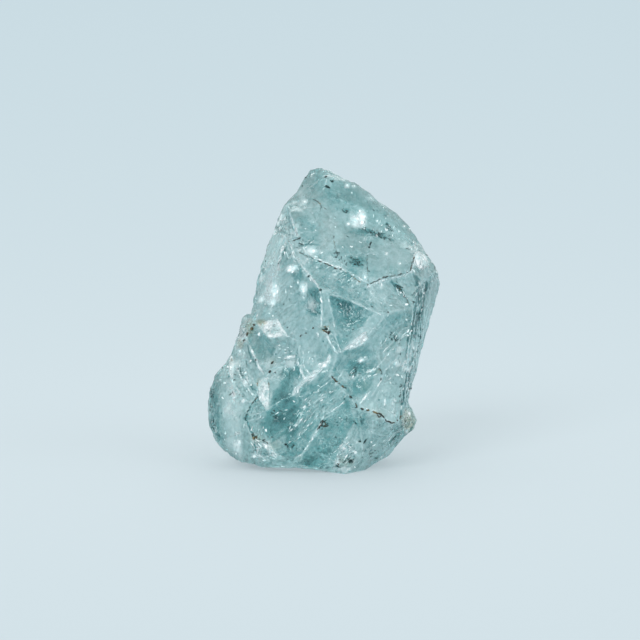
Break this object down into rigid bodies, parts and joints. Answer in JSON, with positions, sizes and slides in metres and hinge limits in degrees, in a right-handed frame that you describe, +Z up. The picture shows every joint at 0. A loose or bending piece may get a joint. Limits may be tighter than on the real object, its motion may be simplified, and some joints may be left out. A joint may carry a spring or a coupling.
{
  "type": "rough aquamarine crystal",
  "caption": "Rough aquamarine crystal, a single clear blue-green stone with broken faces and sharp ridges, standing on a flat broken base.",
  "frame": {"origin": "middle of the stone's box, on the level of its flat base", "axes": "+Z up from the base to the tip, -Y out of the broad front side with the vee-shaped break, +X to the right of that side"},
  "size_m": [0.0166, 0.0128, 0.0208],
  "materials": {
    "aquamarine": "clear blue-green beryl, clouded inside, with glossy broken faces"
  },
  "bodies": {
    "root": {"aquamarine_crystal": "aquamarine"}
  },
  "joints": []
}
